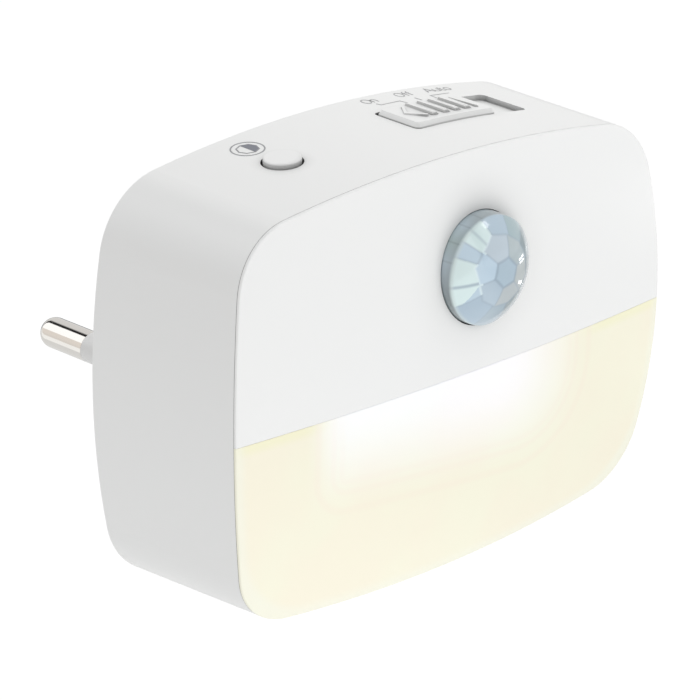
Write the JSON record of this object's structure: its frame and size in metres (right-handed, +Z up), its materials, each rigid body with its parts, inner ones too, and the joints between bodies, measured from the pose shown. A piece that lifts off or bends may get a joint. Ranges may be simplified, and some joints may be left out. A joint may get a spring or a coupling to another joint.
{
  "type": "plug-in night light",
  "caption": "Plug-in night light with a rounded case, a glowing lower front, a domed motion-sensor lens, a mode slider and push button on top, and a wall plug with round pins behind.",
  "frame": {"origin": "middle of the plug's end face, between its pins", "axes": "+X right as seen from the front, +Y towards the wall, along the pins, +Z up"},
  "size_m": [0.0716, 0.0689, 0.0524],
  "materials": {
    "white_shell": "smooth moulded white, satin gloss",
    "opal_diffuser": "milky warm white, lets the lamps glow through",
    "lens_milky": "thin milky polyethylene with a faint blue cast and flat facets",
    "nickel_plate": "polished nickel plate",
    "grey_sleeve": "light grey insulating sleeve, satin",
    "steel_screws": "zinc-plated steel with cross recess",
    "wire_brown": "brown wire insulation",
    "wire_blue": "blue wire insulation",
    "board_green": "green solder mask on glass laminate",
    "board_white": "white solder mask",
    "white_inner": "matt white inner moulding",
    "led_package": "white package with yellow phosphor",
    "sensor_can": "tinned steel can",
    "sensor_window": "dark infrared filter",
    "sensor_clear": "clear resin",
    "black_plastic": "black moulded plastic",
    "switch_case": "folded tinned steel case",
    "film_red": "dark red dipped case",
    "sleeve_dark": "shrink sleeve with bare aluminium top",
    "resistor_blue": "blue-grey lacquer",
    "resistor_black": "black chip with tinned ends"
  },
  "bodies": {
    "base": {"housing": "white_shell", "front_panel": "white_shell", "rear_cover": "white_shell", "plug_body": "white_shell", "diffuser": "opal_diffuser", "rear_cover_screws": "steel_screws", "board_screws": "steel_screws", "pin_left": "nickel_plate", "pin_right": "nickel_plate", "pin_sleeve_left": "grey_sleeve", "pin_sleeve_right": "grey_sleeve", "mains_wire_left": "wire_brown", "mains_wire_right": "wire_blue", "main_board": "board_green", "led_board": "board_white", "light_tray": "white_inner", "leds": "led_package", "sensor_lens": "lens_milky", "motion_sensor": "sensor_can", "motion_sensor_window": "sensor_window", "sensor_spacer": "black_plastic", "light_sensor": "sensor_clear", "slide_switch": "switch_case", "tact_switch": "black_plastic", "film_capacitor": "film_red", "bulk_capacitor": "sleeve_dark", "small_capacitor": "sleeve_dark", "fuse_resistor": "resistor_blue", "bridge_rectifier": "black_plastic", "control_chip": "black_plastic", "voltage_regulator": "black_plastic", "chip_resistors": "resistor_black"},
    "knob": {"mode_knob": "white_shell"},
    "lever": {"switch_lever": "black_plastic"},
    "button": {"button_cap": "white_shell", "tact_plunger": "white_inner"}
  },
  "joints": [
    {"name": "knob_slide", "type": "slide", "parent": "base", "child": "knob", "axis": [0.9975, 0, -0.0706], "range_m": [0, 0.0048]},
    {"name": "lever_slide", "type": "slide", "parent": "base", "child": "lever", "axis": [1, 0, 0], "range_m": [0, 0.0048]},
    {"name": "button_press", "type": "slide", "parent": "base", "child": "button", "axis": [0, 0, -1], "range_m": [0, 0.0004], "stiffness_N_per_m": 500}
  ],
  "couplings": [
    {"joint": "lever_slide", "follows": "knob_slide", "ratio": 0.99751}
  ]
}
